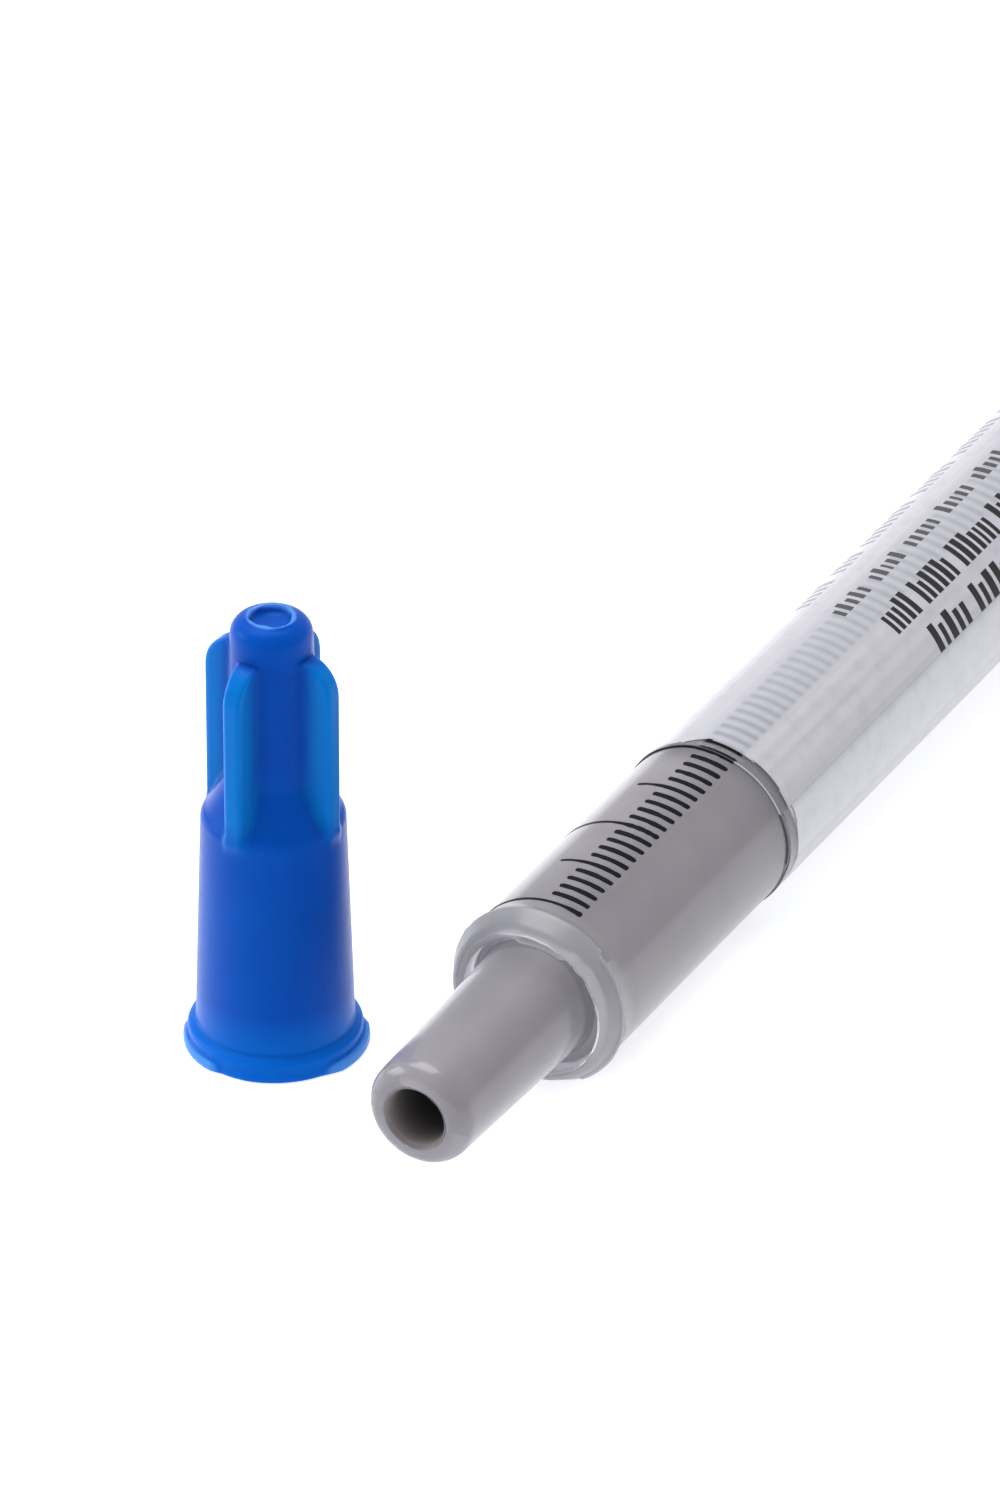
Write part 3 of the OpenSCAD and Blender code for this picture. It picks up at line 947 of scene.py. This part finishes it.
# ---------------------------------------------------------------------------------------------
# Tip cap: one moulding of translucent blue polyethylene. A tapered socket below closes on the
# nozzle; the solid hub above carries four fins to turn it by. Flash is left round its lip.
cap_foot = Vector(mounts["cap_socket"]["pos_m"])
socket_r = mounts["cap_socket"]["dims"]["r_mm"]
socket_depth = mounts["cap_socket"]["dims"]["length_mm"]
cap_h = (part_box("tip_cap")[1].z) / MM
body_r = 2.86   # at the foot
draft = 0.031   # radius lost per millimetre of height
hub_r = 1.46
lip_r = 3.28
shoulder_z = 9.2   # heights: top of the body, foot of the hub
hub_z = 10.9
fin_reach = 2.64
fin_half = 0.40   # half a fin's thickness
fin_top = 16.05
fin_foot = 8.9
fin_round = 1.3   # rounding of a fin's top corner
fin_corner = 0.17
fin_fillet = 0.22
fin_turn = -4.0   # degrees that the fins are turned


def cap_outline():
    """(r, z) points from the mouth up the outside, over the top and down into the dimple."""
    flank = [(body_r - draft * z, z) for z in np.linspace(1.12, shoulder_z, 34)]
    shoulder = bend(body_r - draft * shoulder_z - 0.5, shoulder_z, 0.5, 0, 50, 10)[1:]
    slope_end = (hub_r + 0.26, hub_z - 0.14)
    last = shoulder[-1]
    slope = [(last[0] + (slope_end[0] - last[0]) * t, last[1] + (slope_end[1] - last[1]) * t)
             for t in np.linspace(0.15, 1.0, 8)]
    hub = [(hub_r + 0.14 - 0.14 * (z - hub_z) / 6.0, z)
           for z in list(np.linspace(hub_z + 0.1, 15.0, 26)) + list(np.linspace(15.08, 16.55, 22))]
    return (
        [(socket_r + 0.08, 0.0), (lip_r - 0.26, 0.0)]
        + bend(lip_r - 0.20, 0.10, 0.10, -70, 0, 3)
        + [(lip_r - 0.11, 0.20), (lip_r - 0.13, 0.32), (lip_r - 0.16, 0.44)]
        + bend(lip_r - 0.36, 0.66, 0.20, 0, 80, 5)
        + bend(body_r + 0.08, 1.0, 0.12, -90, -180, 4)
        + flank + shoulder + slope + hub
        + bend(hub_r - 0.62, cap_h - 0.68, 0.62, 6, 78, 9)
        + bend(0.82, cap_h - 0.08, 0.08, 70, 180, 5)
        + [(0.71, cap_h - 0.18), (0.64, cap_h - 0.26), (0.42, cap_h - 0.30), (0.0, cap_h - 0.31)]
    )


def fin_limit(z):
    """How far the fins reach from the axis at each height."""
    top = np.clip((z - (fin_top - fin_round)) / fin_round, 0.0, 1.0)
    foot = np.clip((fin_foot + 0.5 - z) / 0.5, 0.0, 1.0)
    shoulder = (fin_reach - hub_r) * (1.0 - np.sqrt(np.maximum(1.0 - top ** 2, 0.0)))
    return np.where(z > fin_top, 0.0, fin_reach - shoulder) - 0.22 * foot ** 2


def smooth_least(a, b, soft):
    """The lesser of two distances, blended where they are close, as in a moulded fillet."""
    share = np.clip(0.5 + 0.5 * (b - a) / soft, 0.0, 1.0)
    return b + (a - b) * share - soft * share * (1.0 - share)


def cap_radius(base, z, angle):
    """Radius of the finned outside at a height and angle: the furthest point still in plastic."""
    off = np.radians((angle - fin_turn + 45.0) % 90.0 - 45.0)
    reach = fin_limit(z)

    def distance(r):
        """Below 0 in the plastic and above 0 outside it."""
        out = r * np.cos(off)
        across = np.abs(r * np.sin(off))
        thick = fin_half * (1.04 - 0.05 * out)
        dx = out - (reach - fin_corner)
        dy = across - (thick - fin_corner)
        outside = np.hypot(np.maximum(dx, 0.0), np.maximum(dy, 0.0))
        inside = np.minimum(np.maximum(dx, dy), 0.0)
        return smooth_least(r - base, outside + inside - fin_corner, fin_fillet)

    low, high = base * 0.9, np.full_like(base, fin_reach + 0.6)
    samples = 40
    halvings = 18
    found = low.copy()
    for i in range(samples + 1):
        r = low + (high - low) * i / samples
        found = np.where(distance(r) < 0.0, r, found)
    step = (high - low) / samples
    inner, outer = found, found + step
    for _ in range(halvings):
        middle = (inner + outer) / 2.0
        inside = distance(middle) < 0.0
        inner, outer = np.where(inside, middle, inner), np.where(inside, outer, middle)
    return (inner + outer) / 2.0


def cap_angles():
    """Angles round the cap, closer together along the flanks of the fins."""
    quarter = np.concatenate([np.linspace(-45.0, -18.0, 10)[:-1], np.linspace(-18.0, -7.0, 16)[:-1],
                              np.linspace(-7.0, 7.0, 11)[:-1], np.linspace(7.0, 18.0, 16)[:-1],
                              np.linspace(18.0, 45.0, 10)[:-1]])
    return np.concatenate([quarter + 90.0 * i for i in range(4)]) + fin_turn


def cap_mesh():
    """The cap as rings turned about its axis: outside, dimple and socket in one closed outline."""
    socket_top_r = socket_r - cone_slope * socket_depth
    socket = [(0.0, socket_depth), (socket_top_r - 0.1, socket_depth),
              (socket_top_r, socket_depth - 0.1), (socket_r - 0.03, 0.5), (socket_r, 0.08)]
    outline = cap_outline() + socket
    angles = cap_angles()
    finned = [8.0 < z < 16.5 and r > hub_r - 0.1 for r, z in outline]
    verts = []
    for angle in angles:
        r = np.array([p[0] for p in outline], float)
        z = np.array([p[1] for p in outline], float)
        shaped = cap_radius(np.maximum(r, 0.1), z, np.full_like(r, angle))
        r = np.where(finned, shaped, r)
        bearing = (angle + 180.0) % 360.0 - 180.0
        c, s = math.cos(math.radians(angle)), math.sin(math.radians(angle))
        ragged = 0.5 + 0.5 * noise.noise(Vector((c * 2.2, s * 2.2, 1.0)))
        flash = (0.13 * plateau(bearing, 108.0, 168.0, 8.0)
                 + 0.20 * plateau(bearing, -112.0, -48.0, 14.0))
        dimple = (z > cap_h - 0.4) & (r < 0.95)
        out_of_round = 1.0 + 0.16 * (ragged - 0.5) + 0.06 * math.cos(math.radians(3.0 * angle))
        r = np.where(dimple, r * out_of_round, r)
        low_lip = (z < 0.40) & (r > body_r)
        r = np.where(low_lip, r + flash - 0.04 * ragged, r)
        z = np.where(low_lip & (z > 0.25), z + 0.06 * (ragged - 0.5), z)
        verts.extend((a * c, a * s, b) for a, b in zip(r, z))
    return verts, ring_faces(len(angles), len(outline))


def blue_plastic():
    """Deep blue, with painted shade darker in the hub and painted light in the fins, the lip, the
    flash and the dimple's rim.
    """
    made, shader = principled("cap_polyethylene")
    tree = made.node_tree
    from_foot = offset_from(tree, cap_foot)
    split = tree.nodes.new("ShaderNodeSeparateXYZ")
    tree.links.new(from_foot, split.inputs[0])
    height = sums(tree, "DIVIDE", split.outputs["Z"], MM)
    reach = reach_of(tree, split.outputs["X"], split.outputs["Y"])
    across = []
    for bearing in (math.radians(fin_turn), math.radians(fin_turn + 90.0)):
        off_fin = along(tree, from_foot, (math.cos(bearing), math.sin(bearing), 0.0))
        across.append(sums(tree, "ABSOLUTE", off_fin, 0.0))
    nearest = sums(tree, "DIVIDE", sums(tree, "MINIMUM", across[0], across[1]), MM)
    on_fin = sums(tree, "MULTIPLY", between(tree, nearest, -1.0, fin_half + 0.12, 0.25),
                  between(tree, reach, hub_r + 0.40, 4.0, 0.7))
    # Painted light: the thin fins lighter, as if lit through.
    fin_painted_light = sums(tree, "MULTIPLY", on_fin,
                    between(tree, height, shoulder_z + 0.3, fin_top + 1.0, 1.4))
    # Painted light: lighter towards the lip, as if lit from the table.
    lip_painted_light = between(tree, height, -1.0, 1.7, 1.6)
    # Painted shade: the hub darker between the fins.
    hub_painted_shade = sums(tree, "MULTIPLY", between(tree, reach, -1.0, hub_r + 0.25, 0.4),
                    between(tree, height, hub_z + 0.6, cap_h - 1.2, 1.2))
    # Painted light: the flash round the lip and the dimple's rim lighter, as if lit through.
    thin_painted_light = sums(tree, "ADD", between(tree, reach, lip_r - 0.07, 9.0, 0.08),
                     sums(tree, "MULTIPLY", between(tree, reach, 0.72, 0.88, 0.06),
                          between(tree, height, cap_h - 0.14, cap_h + 1.0, 0.1)))
    colour = tinted(tree, fin_painted_light, (0.002, 0.058, 0.36, 1.0), (0.002, 0.145, 0.46, 1.0))
    colour = tinted(tree, hub_painted_shade, colour, (0.002, 0.046, 0.32, 1.0))
    colour = tinted(tree, lip_painted_light, colour, (0.002, 0.115, 0.51, 1.0))
    colour = tinted(tree, sums(tree, "MULTIPLY", thin_painted_light, 0.5), colour, (0.14, 0.37, 0.76, 1.0))
    uneven = between(tree, clouds(tree, 0.35, 3.0), 0.5, 2.0, 0.4)
    colour = tinted(tree, sums(tree, "MULTIPLY", uneven, 0.2), colour, (0.002, 0.10, 0.45, 1.0))
    tree.links.new(colour, shader.inputs["Base Color"])
    shader.inputs["Subsurface Weight"].default_value = 0.5
    shader.inputs["Subsurface Radius"].default_value = (0.2, 0.6, 1.0)
    shader.inputs["Subsurface Scale"].default_value = 0.9 * MM
    shader.inputs["Specular IOR Level"].default_value = 0.16
    shader.inputs["Specular Tint"].default_value = (0.05, 0.35, 1.0, 1.0)
    skin_on(made, shader, grain=0.35, rough=0.32, spread=0.12, ripple=1.8, height=0.010)
    return made


cap_place = Matrix.Translation(cap_foot) @ Matrix.Scale(MM, 4)
piece("finned_tip_cap", [cap_mesh()], [blue_plastic()], "cap", ["tip_cap"],
      place=cap_place, sharp=50.0)
